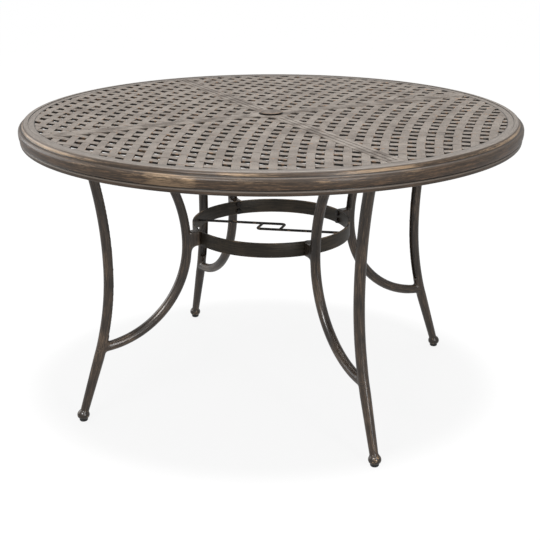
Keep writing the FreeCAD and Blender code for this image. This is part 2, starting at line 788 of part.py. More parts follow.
def main():
    pieces = [make_rim(), make_hub(), make_cap(), make_hoop()]
    for name, turn in QUARTERS:
        pieces += make_lattice(name, turn)
    for name, turn in CORNERS:
        pieces.append(make_spoke(name, turn))
        pieces.append(make_leg(name, turn))
        pieces.append(make_glide(name, turn))
    pieces += [make_guide_rod("left", 0), make_guide_rod("right", 180)]
    pieces += [make_hoop_bolts(), make_leg_bolts()]
    doc.recompute()
    check_and_write(pieces)


main()
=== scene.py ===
import math

import bpy
from mathutils import Matrix, Quaternion, Vector


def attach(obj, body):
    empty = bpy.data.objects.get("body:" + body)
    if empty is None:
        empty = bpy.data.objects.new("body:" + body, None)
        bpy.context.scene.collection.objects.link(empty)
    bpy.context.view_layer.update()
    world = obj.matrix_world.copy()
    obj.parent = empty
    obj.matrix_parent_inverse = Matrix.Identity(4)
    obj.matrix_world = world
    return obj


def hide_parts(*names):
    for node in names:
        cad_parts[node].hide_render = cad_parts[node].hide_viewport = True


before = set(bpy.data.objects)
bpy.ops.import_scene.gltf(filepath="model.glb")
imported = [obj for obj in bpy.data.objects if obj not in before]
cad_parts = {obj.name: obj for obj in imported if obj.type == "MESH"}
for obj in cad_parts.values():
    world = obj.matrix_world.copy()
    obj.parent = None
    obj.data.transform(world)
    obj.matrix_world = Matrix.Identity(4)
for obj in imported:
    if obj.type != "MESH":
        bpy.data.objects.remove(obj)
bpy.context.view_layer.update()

# Round garden table, drawn in millimetres and built in metres. It stands on the floor with its top
# at 720 mm, and its legs are on the diagonals.
MM = 0.001
WELD = 0.01 * MM
UP = (0, 0, 1)
SIDEWAYS = (0, 1, 0)
WHOLE_TURN = 2 * math.pi
CORNERS = {"right_rear": 45, "left_rear": 135, "left_front": 225, "right_front": 315}
QUARTERS = {"right": 0, "rear": 90, "left": 180, "front": 270}

# The top: how far in from the rim the lattice starts, and where its quarters are cut off.
PANEL_RADIUS = 570
SPOKE_SEAT = 18.7
HUB_SEAT = 44
RIM_SEAT = PANEL_RADIUS + 7
RIM_SEAT_CHORDS = 16

# The weave: two families of gently bowed strips.
PITCH = 39.2
STRIP_WIDTH = 19.4
STRIP_THICKNESS = 5.4
WEAVE_MIDDLE = 715.2
WEAVE_RISE = 0.35
WEAVE_FLATNESS = 3
CROSS_PHASE, CROSS_APEX, CROSS_BOW = -26.1, 124, 1993
LONG_PHASE, LONG_APEX, LONG_BOW = 10.6, 247.5, 2425
FIRST_CELL, CELLS = -19, 36
SLICES_PER_CELL = 6
NEXT_GRAIN = 977  # sets bars and strips far apart in the brushed pattern, so that no two are alike

# The legs, drawn in the plane of the table's radius and its height.
POST_WAIST, POST_LEVEL = 435.5, 383
POST_UPPER, POST_LOWER = 1050, 706
POST_RADIUS, ANKLE_RADIUS, SPLAY = 13.25, 10.2, math.radians(18.4)
POST_CHANNEL_TURN = math.radians(13.8)
FOOT_RADIUS = 519.7
BRACE_WAIST, BRACE_LEVEL, BRACE_RADIUS = 232, 419, 12.5
BRACE_UPPER, BRACE_UPPER_TURN = 340, math.radians(45)
BRACE_LOWER = 235
CHANNEL_WIDTH, CHANNEL_DEPTH = 15.5, 13
HEAD_LEVEL, HEAD_THICKNESS = 693, 6
HEAD_INNER, HEAD_OUTER, HEAD_HALF_WIDTH = 345, 502, 17
CROTCH = (451, 0, 186)
WEB_FOOT = (220, 0, 396)
CASTING_GRAIN = 1.5

# The hoop, and the bolts that hold hoop and legs.
HOOP_LEVEL, HOOP_HEIGHT = 428.5, 36
HOOP_INNER, HOOP_OUTER = 195, 200
HOOP_FOOT, HOOP_TOP = HOOP_LEVEL - HOOP_HEIGHT / 2, HOOP_LEVEL + HOOP_HEIGHT / 2
BAND_BOLT = {"flats": 13, "head": 5.3, "radius": 4, "grip": 18, "washer": 8}
BAND_BOLT_RISES = (-10, 10)
HEAD_BOLT = {"flats": 10, "head": 4, "radius": 3, "grip": 17, "washer": 0}
HEAD_BOLT_RADII = (408, 443)


# Modelling
def millimetres(*values):
    return Vector(values) * MM


def leave_edit():
    bpy.ops.object.mode_set(mode="OBJECT")


def deselect_all():
    bpy.ops.object.select_all(action="DESELECT")


def name_piece(name):
    """Names the piece in hand, and brings its place into its mesh."""
    piece = bpy.context.object
    piece.name = name
    piece.data.name = name
    deselect_all()
    piece.select_set(True)
    bpy.ops.object.transform_apply(location=True, rotation=True, scale=True)
    return piece


def take_up(piece):
    """Makes a piece the only one in hand."""
    deselect_all()
    piece.select_set(True)
    bpy.context.view_layer.objects.active = piece


def arc(x, z, radius, start, end, steps):
    """Points of an arc in a section, angles in degrees from the X axis."""
    points = []
    for k in range(steps + 1):
        angle = math.radians(start + (end - start) * k / steps)
        points.append((x + radius * math.cos(angle), z + radius * math.sin(angle)))
    return points


def draw_section(points, flat=False):
    """A closed outline drawn corner by corner: points are radius and height, or x and y where flat."""
    places = [millimetres(a, b, 0) if flat else millimetres(a, 0, b) for a, b in points]
    deselect_all()
    bpy.ops.mesh.primitive_plane_add(size=MM, location=places[0])
    bpy.ops.object.mode_set(mode="EDIT")
    bpy.ops.mesh.select_all(action="SELECT")
    bpy.ops.mesh.merge(type="CENTER")
    for last, place in zip(places, places[1:] + places[:1]):
        bpy.ops.mesh.extrude_vertices_move(TRANSFORM_OT_translate={"value": place - last})
    bpy.ops.mesh.select_all(action="SELECT")
    bpy.ops.mesh.remove_doubles(threshold=WELD)


def extrude(move):
    bpy.ops.mesh.extrude_region_move(TRANSFORM_OT_translate={"value": move})


def swing(steps, angle, centre, axis):
    """Sweeps what is selected round an axis, by the right-hand rule."""
    bpy.ops.mesh.spin(steps=steps, angle=-angle, center=centre, axis=axis)


def close_ends():
    """Caps every open end of the piece in hand, and turns its faces outwards."""
    bpy.ops.mesh.select_all(action="SELECT")
    bpy.ops.mesh.fill_holes(sides=0)
    bpy.ops.mesh.select_all(action="SELECT")
    bpy.ops.mesh.normals_make_consistent(inside=False)


def cut_off(point, normal):
    """Cuts away all that lies beyond a plane, and closes the cut."""
    bpy.ops.mesh.select_all(action="SELECT")
    bpy.ops.mesh.bisect(plane_co=point, plane_no=normal, use_fill=True, clear_outer=True)


def turn_on_lathe(name, points, steps, smooth_angle=35, axis_at=0):
    """A ring or a round piece, spun from its section about an upright axis."""
    draw_section([(axis_at + radius, level) for radius, level in points])
    swing(steps, WHOLE_TURN, millimetres(axis_at, 0, 0), UP)
    bpy.ops.mesh.select_all(action="SELECT")
    bpy.ops.mesh.remove_doubles(threshold=WELD)
    bpy.ops.mesh.select_all(action="SELECT")
    bpy.ops.mesh.normals_make_consistent(inside=False)
    leave_edit()
    piece = name_piece(name)
    bpy.ops.object.shade_smooth_by_angle(angle=math.radians(smooth_angle))
    return piece


def apply_modifier(piece, kind, **settings):
    take_up(piece)
    modifier = piece.modifiers.new(kind.lower(), kind)
    for key, value in settings.items():
        setattr(modifier, key, value)
    bpy.ops.object.modifier_apply(modifier=modifier.name)


def join(name, pieces):
    take_up(pieces[0])
    for piece in pieces[1:]:
        piece.select_set(True)
    bpy.ops.object.join()
    return name_piece(name)


def copy_of(piece, name, matrix):
    twin = piece.copy()
    twin.data = piece.data.copy()
    twin.name = name
    twin.data.name = name
    bpy.context.scene.collection.objects.link(twin)
    twin.data.transform(matrix)
    return twin


def turned(degrees):
    return Matrix.Rotation(math.radians(degrees), 4, "Z")


def delete(piece):
    bpy.data.objects.remove(piece)


# Finishes
class Wire:
    """A value on its way through a finish; arithmetic on it adds the maths nodes."""

    def __init__(self, finish, socket):
        self.finish = finish
        self.socket = socket

    def maths(self, operation, first, second):
        return self.finish.node("ShaderNodeMath", {"operation": operation}, {0: first, 1: second})

    def __add__(self, other):
        return self.maths("ADD", self, other)

    def __radd__(self, other):
        return self.maths("ADD", other, self)

    def __sub__(self, other):
        return self.maths("SUBTRACT", self, other)

    def __rsub__(self, other):
        return self.maths("SUBTRACT", other, self)

    def __mul__(self, other):
        return self.maths("MULTIPLY", self, other)

    def __rmul__(self, other):
        return self.maths("MULTIPLY", other, self)

    def __abs__(self):
        return self.maths("ABSOLUTE", self, 0)


class Finish:
    """A procedural surface: its nodes, and the shader that they feed."""

    def __init__(self, name):
        self.material = bpy.data.materials.new(name)
        self.material.use_nodes = True
        self.tree = self.material.node_tree
        self.tree.nodes.clear()

    def node(self, kind, settings, inputs, out=0):
        """Adds a node: its settings first, then the values or wires of its sockets."""
        made = self.tree.nodes.new(kind)
        for key, value in settings.items():
            setattr(made, key, value)
        for key, value in inputs.items():
            if isinstance(value, Wire):
                self.tree.links.new(value.socket, made.inputs[key])
            elif isinstance(value, tuple) and len(value) == 3 and made.inputs[key].type == "RGBA":
                made.inputs[key].default_value = (*value, 1)
            else:
                made.inputs[key].default_value = value
        return Wire(self, made.outputs[out]) if made.outputs else None

    def place(self):
        return self.node("ShaderNodeTexCoord", {}, {}, "Object")

    def own(self, name):
        """A place that is written on the mesh itself, which follows the piece's surface."""
        return self.node("ShaderNodeAttribute", {"attribute_name": name}, {}, "Vector")

    def parts(self, vector):
        split = self.node("ShaderNodeSeparateXYZ", {}, {0: vector})
        return [Wire(self, socket) for socket in split.socket.node.outputs]

    def vector(self, x, y, z):
        return self.node("ShaderNodeCombineXYZ", {}, {0: x, 1: y, 2: z})

    def stretched(self, vector, scale):
        return self.node("ShaderNodeVectorMath", {"operation": "MULTIPLY"}, {0: vector, 1: scale})

    def length(self, x, y):
        return self.node("ShaderNodeVectorMath", {"operation": "LENGTH"},
                         {0: self.vector(x, y, 0)}, "Value")

    def noise(self, vector, scale, detail=4, roughness=0.6):
        return self.node("ShaderNodeTexNoise", {}, {
            "Vector": vector, "Scale": scale, "Detail": detail, "Roughness": roughness})

    def rise(self, value, low, high):
        """0 below low, 1 above high, and a soft step between them."""
        return self.node("ShaderNodeMapRange", {"interpolation_type": "SMOOTHSTEP"}, {
            "Value": value, "From Min": low, "From Max": high})

    def band(self, value, middle, half_width, softness):
        return 1 - self.rise(abs(value - middle), half_width, half_width + softness)

    def mix(self, amount, first, second):
        return self.node("ShaderNodeMix", {"data_type": "RGBA"}, {0: amount, 6: first, 7: second}, 2)

    def relief(self, height, distance, strength=1):
        return self.node("ShaderNodeBump", {}, {
            "Height": height, "Distance": distance, "Strength": strength}, "Normal")

    def finish(self, colour, roughness, normal, metallic=0.0, coat=0.0, specular=0.5, glow=None):
        shader = self.node("ShaderNodeBsdfPrincipled", {}, {
            "Base Color": colour, "Roughness": roughness, "Metallic": metallic, "Normal": normal,
            "Specular IOR Level": specular, "Coat Weight": coat, "Coat Roughness": 0.15,
            **({"Emission Color": glow, "Emission Strength": 1.0} if glow else {})})
        self.node("ShaderNodeOutputMaterial", {}, {"Surface": shader})
        return self.material


NEAR_BLACK = (0.006, 0.005, 0.004)
DARK_BRONZE = (0.015, 0.011, 0.008)
BROWN_BRONZE = (0.075, 0.050, 0.033)
COPPER_RUB = (0.30, 0.17, 0.09)
GOLD_RUB = (0.41, 0.285, 0.175)
TAUPE = (0.230, 0.201, 0.175)
DEEP_TAUPE = (0.095, 0.076, 0.062)
RIM_DARK, RIM_BROWN = (0.028, 0.020, 0.014), (0.082, 0.055, 0.037)
STRIP_WALL_BROWN = (0.075, 0.046, 0.026)
CAP_DARK, CAP_PALE = (0.075, 0.060, 0.049), (0.145, 0.118, 0.098)
FOOT_GLINT = (0.50, 0.33, 0.18)
HOOP_DARK, HOOP_PALE = (0.020, 0.016, 0.011), (0.040, 0.032, 0.022)
ROD_BLACK = (0.012, 0.010, 0.009)
BOLT_RUB = (0.13, 0.08, 0.045)
PLASTIC_DARK, PLASTIC_PALE = (0.008, 0.008, 0.009), (0.022, 0.021, 0.021)
FLOOR_DARK, FLOOR_PALE = (0.055, 0.055, 0.055), (0.065, 0.065, 0.065)
STUDIO_WHITE, TABLE_SHADE = (0.97, 0.97, 0.97), (0.875, 0.875, 0.875)


def rim_finish():
    """Brown bronze brushed round the table, worn to gold on the upper bead and the shoulder, with
    painted shade in its grooves and steps and a painted highlight along the foot bead.

    Each moulding of make_rim is found by its radius or its level, in metres."""
    f = Finish("rim_bronze")
    place = f.place()
    x, y, z = f.parts(place)
    radius = f.length(x, y)
    streaks = f.noise(f.vector(x * 18, y * 18, (radius - z) * 360), 1, 5, 0.65)
    fine = f.noise(f.vector(x * 75, y * 75, (radius - z) * 1300), 1, 3, 0.65)
    blotches = f.noise(f.vector(x * 9, y * 9, z * 26), 1, 4, 0.6)
    patches = f.noise(place, 3.2, 2, 0.5)
    deck = 1 - f.rise(radius, 0.5846, 0.5852)
    lip = f.band(radius, 0.5852, 0.0004, 0.0005) + f.band(radius, 0.5706, 0.0008, 0.0008)
    crown = f.rise(z, 0.7185, 0.7196) * f.rise(radius, 0.5855, 0.5862)
    bead = f.band(z, 0.7140, 0.0018, 0.0022) * f.rise(radius, 0.5930, 0.5960)
    painted_shade_seam = f.band(z, 0.7104, 0.0006, 0.0009)
    shoulder = f.band(z, 0.7050, 0.0030, 0.0045)
    face = f.band(z, 0.6940, 0.0070, 0.0060)
    groove = f.band(z, 0.6836, 0.0007, 0.0007)
    foot = f.band(z, 0.6812, 0.0008, 0.0012)
    grainy = streaks * 0.55 + fine * 0.45
    handled = 1 - f.rise(f.length(x, y + 0.606), 0.030, 0.085)
    spared = f.rise(x, 0.30, 0.42)
    rubbed = f.rise(blotches * 0.50 + grainy * 0.62 + handled * 0.10 - spared * 0.04, 0.595, 0.700)
    worn = f.rise(patches * 0.7 + grainy * 0.5, 0.54, 0.68)
    colour = f.mix(f.rise(grainy, 0.32, 0.68), RIM_DARK, RIM_BROWN)
    colour = f.mix(f.rise(grainy, 0.48, 0.66) * (face * 0.26 + 0.10), colour, COPPER_RUB)
    colour = f.mix(rubbed * (shoulder * 0.55 + face * 0.20 + handled * face * 0.25), colour, GOLD_RUB)
    colour = f.mix(worn * bead * 0.85, colour, GOLD_RUB)
    # Pale line along the foot bead's upper edge: a painted highlight.
    colour = f.mix(foot * 0.50, colour, TAUPE)
    colour = f.mix(f.rise(deck + crown, 0.3, 0.9) * 0.92, colour,
                   f.mix(f.rise(fine * 0.6 + streaks * 0.4, 0.34, 0.60), DEEP_TAUPE, TAUPE))
    # The grooves, the notch under the upper bead and the two lines at the deck's edges are painted
    # near-black: painted shade in these recesses and steps.
    colour = f.mix(f.rise(groove * 0.9 + painted_shade_seam * 0.6 + lip * 0.8, 0.1, 1.0), colour, NEAR_BLACK)
    normal = f.relief(streaks * 0.5 + fine * 0.5, 0.0004, 0.4)
    return f.finish(colour, 0.30 + fine * 0.18, normal, 0.12 + rubbed * 0.25, 0.1, 0.45)


def lattice_finish():
    """Taupe bronze with painted shade on the strips' sides, painted shadow lines where they cross, and
    copper flecks along the edges of the strips.
    """
    f = Finish("lattice_bronze")
    place = f.place()
    across, along, level = f.parts(f.own("strip"))
    crossing = f.parts(f.own("crossing"))[0]
    edge = f.rise(abs(across), 0.0074, 0.0092)
    painted_shade_seam = f.band(crossing, 0.0102, 0.0004, 0.0003)
    flecks = f.noise(place, 95, 4, 0.7)
    patches = f.noise(place, 14, 4, 0.6)
    brushed = f.noise(f.vector(across * 900, along * 60, level * 300), 1, 4, 0.6)
    # Below the strips' top faces, the sides and undersides are painted dark, flecked with brown: painted
    # shade in the holes.
    side = 1 - f.rise(level, 0.0017, 0.0020)
    colour = f.mix(f.rise(patches * 0.5 + brushed * 0.5, 0.30, 0.66), DEEP_TAUPE, TAUPE)
    colour = f.mix(f.rise(flecks, 0.54, 0.64) * (0.10 + edge * 0.80), colour, COPPER_RUB)
    # Thin dark lines where a strip dives under its crossing strip: painted shadow lines at the step.
    colour = f.mix(painted_shade_seam * 0.85, colour, DARK_BRONZE)
    painted_shade_wall = f.mix(f.rise(flecks, 0.50, 0.62), NEAR_BLACK, STRIP_WALL_BROWN)
    colour = f.mix(side, colour, painted_shade_wall)
    normal = f.relief(brushed * 0.6 + flecks * 0.4, 0.0003, 0.5)
    return f.finish(colour, 0.40 + patches * 0.16 + side * 0.2, normal, 0.1, 0.0, 0.4)


def spoke_finish():
    """The lattice's taupe, with painted shade in the grooves and on the lower sides, and a painted
    shadow of the cap on the hub.
    """
    f = Finish("spoke_bronze")
    place = f.place()
    x, y, z = f.parts(place)
    across = abs(abs(x) - abs(y)) * 0.7071
    patches = f.noise(place, 22, 4, 0.6)
    flecks = f.noise(place, 120, 4, 0.7)
    # Everything below the top faces, and the hub round the cap's brim, is darkened: painted shade on the
    # sides and a painted shadow under the cap.
    deep = 1 - f.rise(z, 0.7166, 0.7176) * f.rise(f.length(x, y), 0.0298, 0.0312)
    # Painted shade in the grooves between the ribs.
    groove = f.band(across, 0.0070, 0.0013, 0.0006) * (1 - f.rise(z, 0.7182, 0.7188))
    colour = f.mix(f.rise(patches, 0.35, 0.65), DEEP_TAUPE, TAUPE)
    colour = f.mix(f.rise(flecks, 0.57, 0.68) * 0.35, colour, COPPER_RUB)
    colour = f.mix(groove * 0.8, colour, DARK_BRONZE)
    colour = f.mix(deep * 0.85, colour, DARK_BRONZE)
    normal = f.relief(patches * 0.4 + flecks * 0.6, 0.0003, 0.5)
    return f.finish(colour, 0.38 + patches * 0.16, normal, 0.1, 0.0, 0.4)


def cap_finish():
    """Dark bronze, rubbed to copper round the cap's edge, and near-black under its brim: painted shade.
    """
    f = Finish("cap_bronze")
    place = f.place()
    x, y, z = f.parts(place)
    radius = f.length(x, y)
    patches = f.noise(place, 60, 4, 0.6)
    rub = f.band(radius, 0.0275, 0.0010, 0.0018) * f.rise(z, 0.7226, 0.7234)
    # Near-black below the brim: painted shade under the cap.
    under = 1 - f.rise(z, 0.7228, 0.7236)
    colour = f.mix(f.rise(patches, 0.35, 0.65), CAP_DARK, CAP_PALE)
    colour = f.mix(rub * f.rise(patches, 0.35, 0.60) * 0.5, colour, COPPER_RUB)
    colour = f.mix(under, colour, NEAR_BLACK)
    return f.finish(colour, 0.36 + patches * 0.14, f.relief(patches, 0.0003, 0.4), 0.15, 0.0, 0.4)


def leg_finish():
    """Dark bronze brushed along the casting, with gold glints on the feet."""
    f = Finish("leg_bronze")
    along, out, side = f.parts(f.own("casting"))
    height = f.parts(f.place())[2]
    streaks = f.noise(f.vector(along * 24, out * 480, side * 480), 1, 5, 0.65)
    fine = f.noise(f.vector(along * 150, out * 1300, side * 1300), 1, 3, 0.6)
    patches = f.noise(f.place(), 13, 3, 0.55)
    foot = 1 - f.rise(height, 0.026, 0.031)
    worn = f.rise(streaks * 0.60 + fine * 0.25 + patches * 0.25, 0.58, 0.72)
    glint = f.rise(patches * 0.3 + f.noise(f.place(), 230, 3, 0.6) * 0.7, 0.56, 0.62)
    colour = f.mix(f.rise(streaks * 0.7 + patches * 0.3, 0.38, 0.66), DARK_BRONZE, BROWN_BRONZE)
    colour = f.mix(worn * 0.36, colour, GOLD_RUB)
    colour = f.mix(foot * 0.6, colour, DARK_BRONZE)
    colour = f.mix(foot * glint * 0.7, colour, FOOT_GLINT)
    normal = f.relief(streaks * 0.6 + fine * 0.4, 0.0004, 0.22)
    return f.finish(colour, 0.32 + fine * 0.12, normal, 0.12 + worn * 0.15, 0.6, 0.45)


def hoop_finish():
    """Dark bronze, worn to gold along the band's two edges."""
    f = Finish("hoop_bronze")
    place = f.place()
    x, y, z = f.parts(place)
    streaks = f.noise(f.vector(x * 20, y * 20, z * 500), 1, 5, 0.65)
    patches = f.noise(place, 20, 3, 0.55)
    level = abs(z - HOOP_LEVEL * MM)
    edge = f.rise(level, 0.0160, 0.0176)
    worn = f.rise(streaks * 0.5 + patches * 0.5, 0.46, 0.62)
    colour = f.mix(f.rise(streaks, 0.35, 0.7), HOOP_DARK, HOOP_PALE)
    colour = f.mix(worn * (0.05 + edge * 0.75), colour, GOLD_RUB)
    return f.finish(colour, 0.36 + patches * 0.12, f.relief(streaks, 0.0003, 0.5), 0.15, 0.0, 0.4)


def rod_finish():
    """Near-black, chipped to gold here and there."""
    f = Finish("rod_bronze")
    place = f.place()
    chips = f.noise(f.stretched(place, (60, 190, 190)), 1, 4, 0.65)
    colour = f.mix(f.rise(chips, 0.58, 0.64), ROD_BLACK, GOLD_RUB)
    return f.finish(colour, 0.34 + chips * 0.15, f.relief(chips, 0.0002, 0.5), 0.15, 0.0, 0.4)


def bolt_finish():
    """Dark bronze, slightly worn on the corners of the heads."""
    f = Finish("bolt_bronze")
    place = f.place()
    wear = f.noise(place, 260, 4, 0.65)
    colour = f.mix(f.rise(wear, 0.55, 0.68), ROD_BLACK, BOLT_RUB)
    return f.finish(colour, 0.36 + wear * 0.15, f.relief(wear, 0.0002, 0.5), 0.2, 0.0, 0.4)


def glide_finish():
    """Black moulded plastic with a fine grain."""
    f = Finish("glide_black")
    grain = f.noise(f.place(), 700, 3, 0.5)
    colour = f.mix(grain, PLASTIC_DARK, PLASTIC_PALE)
    return f.finish(colour, 0.42 + grain * 0.14, f.relief(grain, 0.0002, 0.5))


def floor_finish():
    """A white studio floor that glows, with a painted shadow under the table: a soft pale grey oval."""
    f = Finish("floor_white")
    place = f.place()
    grain = f.noise(place, 0.4, 2)
    x, y, z = f.parts(place)
    wide = x * 0.949 + y * 0.315 + 0.026
    deep = y * 0.949 - x * 0.315 - 0.038
    # Painted shadow of the table: the glow drops to a pale grey in a soft oval under it.
    painted_table_shadow = 1 - f.rise(f.length(wide * 0.926, deep), 0.50, 0.64)
    colour = f.mix(grain, FLOOR_DARK, FLOOR_PALE)
    glow = f.mix(painted_table_shadow, STUDIO_WHITE, TABLE_SHADE)
    return f.finish(colour, 0.9, f.relief(grain, 0.001), specular=0.0, glow=glow)


FINISHES = {
    "bronze_rim": rim_finish(),
    "bronze_lattice": lattice_finish(),
    "bronze_spoke": spoke_finish(),
    "bronze_cap": cap_finish(),
    "bronze_leg": leg_finish(),
    "bronze_hoop": hoop_finish(),
    "bronze_rod": rod_finish(),
    "dark_bolt": bolt_finish(),
    "black_plastic": glide_finish(),
}


def give_finish(piece, slot):
    piece.data.materials.clear()
    piece.data.materials.append(FINISHES[slot])


def settle(piece, body, slot, *nodes):
    """Gives a new piece the finish that its slot names and its body, and hides the nodes that it stands
    for.
    """
    give_finish(piece, slot)
    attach(piece, body)
    if nodes:
        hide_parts(*nodes)
    return piece


# Top
def make_rim():
    """The moulded ring: deck, lip, upper bead, round shoulder, fascia, groove and foot bead."""
    points = [(PANEL_RADIUS, 718), (PANEL_RADIUS + 0.5, 718.5), (584.8, 718.5)]
    points += arc(586.4, 718.6, 1.4, 180, 90, 3)
    points += arc(592.0, 711.4, 8.6, 88, 8, 9)
    points += [(600.7, 711.3), (601.1, 710.4), (601.8, 710.0)]
    points += arc(601.4, 701.4, 8.6, 84, 0, 10)
    fascia = [(610, 697.5), (609.9, 694.5), (609.5, 691.5), (608.8, 688.6), (607.8, 686.0),
              (607.2, 685.1)]
    groove = [(605.2, 684.4), (604.6, 683.4), (604.9, 682.6), (606.2, 682.1)]
    foot = [(607.0, 681.2), (607.2, 679.4), (606.9, 676.6), (606.2, 674.2), (604.9, 672.6),
            (603.4, 672.0)]
    inside = [(601.1, 672.2), (600.9, 673), (586, 716.5), (PANEL_RADIUS, 716.5)]
    points += fascia + groove + foot + inside
    return turn_on_lathe("moulded_rim", points, 180, 30)


def bowed(x, y):
    """Where a point of the straight weave comes to lie when both families of strips are bowed."""
    straight_x, straight_y = x, y
    for _ in range(8):
        x = straight_x + (y - CROSS_APEX) ** 2 / (2 * CROSS_BOW)
        y = straight_y + (x - LONG_APEX) ** 2 / (2 * LONG_BOW)
    return x, y


def weave_height(place):
    """How high a strip runs at a place along it, counted in strips; it is flat at a crossing."""
    wave = math.cos(math.pi * (place - 0.5))
    return WEAVE_RISE * math.tanh(WEAVE_FLATNESS * wave) / math.tanh(WEAVE_FLATNESS)


def make_strips(name, lengthways):
    """One family of strips over the whole square: laid straight, woven over and under, then bowed."""
    half = STRIP_WIDTH / 2
    low, high = -STRIP_THICKNESS / 2, STRIP_THICKNESS / 2
    draw_section([
        (-half, low + 0.5), (-half + 0.6, low), (half - 0.6, low), (half, low + 0.5),
        (half, high - 0.6), (half - 0.6, high - 0.1), (0, high),
        (-half + 0.6, high - 0.1), (-half, high - 0.6),
    ])
    step = PITCH / SLICES_PER_CELL
    bpy.ops.mesh.select_all(action="SELECT")
    extrude(millimetres(0, step, 0))
    leave_edit()
    strips = name_piece(name)
    apply_modifier(strips, "ARRAY", count=CELLS * SLICES_PER_CELL, use_relative_offset=False,
                   use_constant_offset=True, constant_offset_displace=millimetres(0, step, 0),
                   use_merge_vertices=True, merge_threshold=WELD)
    apply_modifier(strips, "ARRAY", count=CELLS, use_relative_offset=False,
                   use_constant_offset=True, constant_offset_displace=millimetres(PITCH, 0, 0))
    own_place = strips.data.attributes.new("strip", "FLOAT_VECTOR", "POINT")
    crossing = strips.data.attributes.new("crossing", "FLOAT_VECTOR", "POINT")
    for index, vertex in enumerate(strips.data.vertices):
        x, y, z = vertex.co / MM
        row = round(x / PITCH)
        cell = FIRST_CELL + y / PITCH
        lift = weave_height(cell) * (-1) ** (row + FIRST_CELL)
        across = x - row * PITCH
        level = z - lift if lengthways else z + lift
        own_place.data[index].vector = millimetres(across, y + NEXT_GRAIN * row, level)
        under = (row + FIRST_CELL) % 2 + (0.5 if lengthways else 1.5)
        from_under = abs((cell - under + 1) % 2 - 1) * PITCH
        crossing.data[index].vector = millimetres(from_under, 0, 0)
        x += (FIRST_CELL + 0.5) * PITCH
        y += FIRST_CELL * PITCH
        z += WEAVE_MIDDLE - lift if lengthways else WEAVE_MIDDLE + lift
        if not lengthways:
            x, y = y, x
        vertex.co = millimetres(*bowed(CROSS_PHASE + x, LONG_PHASE + y), z)
    return strips


def make_quarter(weave, name, degrees):
    """A quarter of the weave, cut out between two spokes, the hub and the rim."""
    piece = copy_of(weave, f"lattice_{name}", Matrix.Identity(4))
    take_up(piece)
    bpy.ops.object.mode_set(mode="EDIT")
    for side in (-1, 1):
        angle = math.radians(degrees + side * 135)
        beside = Vector((math.cos(angle), math.sin(angle), 0))
        cut_off(beside * -SPOKE_SEAT * MM, beside)
    outwards = Vector((math.cos(math.radians(degrees)), math.sin(math.radians(degrees)), 0))
    cut_off(outwards * HUB_SEAT * MM, -outwards)
    for k in range(RIM_SEAT_CHORDS):
        angle = math.radians(degrees - 45 + 90 * (k + 0.5) / RIM_SEAT_CHORDS)
        out = Vector((math.cos(angle), math.sin(angle), 0))
        cut_off(out * RIM_SEAT * MM, out)
    bpy.ops.mesh.select_all(action="SELECT")
    bpy.ops.mesh.normals_make_consistent(inside=False)
    leave_edit()
    take_up(piece)
    bpy.ops.object.shade_smooth_by_angle(angle=math.radians(30))
    return piece


def make_lattice():
    weave = join("weave", [make_strips("long_strips", True), make_strips("cross_strips", False)])
    for name, degrees in QUARTERS.items():
        quarter = make_quarter(weave, name, degrees)
        settle(quarter, "table", "bronze_lattice", f"lattice_{name}_upper", f"lattice_{name}_lower")
    delete(weave)


def make_cap():
    """The domed cap, undercut below its brim, on a stem that drops into the umbrella hole."""
    dome = [(0, 725), (8, 724.9), (16, 724.6), (22, 724.2), (26.5, 723.7)]
    brim = arc(28.1, 722.8, 0.9, 70, -90, 5)
    neck = [(25.2, 721.7), (24.6, 721.2), (24.6, 719.3), (21.6, 719.3)]
    stem = [(20.9, 718.8), (20.9, 705.8), (20.1, 705), (0, 705)]
    return turn_on_lathe("umbrella_cap", dome + brim + neck + stem, 64)


# Legs
def sweep(points, level, axis, angle, steps, run=0, taper=1.0):
    """A solid swept from a level section round a level line at x = axis, and then straight on.

    The section starts a little before the given level, so that two such solids overlap there."""
    before = math.copysign(2, angle)
    draw_section(points, flat=True)
    bpy.ops.mesh.select_all(action="SELECT")
    bpy.ops.transform.translate(value=millimetres(0, 0, level - before))
    radius = abs(axis - sum(x for x, y in points) / len(points))
    swing(steps, angle + before / radius, millimetres(axis, 0, level), SIDEWAYS)
    if run:
        way = Vector((math.sin(angle), 0, math.cos(angle))) * math.copysign(1, angle)
        extrude(way * run * MM)
        bend_end = Vector((axis, 0, level)) - Vector((math.cos(angle), 0, -math.sin(angle))) * radius
        end = bend_end + way * run
        bpy.ops.transform.resize(value=(taper, taper, taper), center_override=end * MM)
    close_ends()
    leave_edit()
    return name_piece("bar")


def ring(x, radius):
    """The outline of a round bar."""
    steps = 20
    return [(x + radius * math.cos(WHOLE_TURN * k / steps), radius * math.sin(WHOLE_TURN * k / steps))
            for k in range(steps)]


def channel(face):
    """The outline of the channel in a bar's inner face, its floor rounded."""
    half, floor = CHANNEL_WIDTH / 2, face + CHANNEL_DEPTH
    corner = 3.5
    return ([(face - 3, half), (face - 3, -half)] + arc(floor - corner, corner - half, corner, -90, 0, 3)
            + arc(floor - corner, half - corner, corner, 0, 90, 3))


def subtract(piece, core):
    apply_modifier(piece, "BOOLEAN", operation="DIFFERENCE", solver="EXACT", object=core)
    delete(core)
    return piece


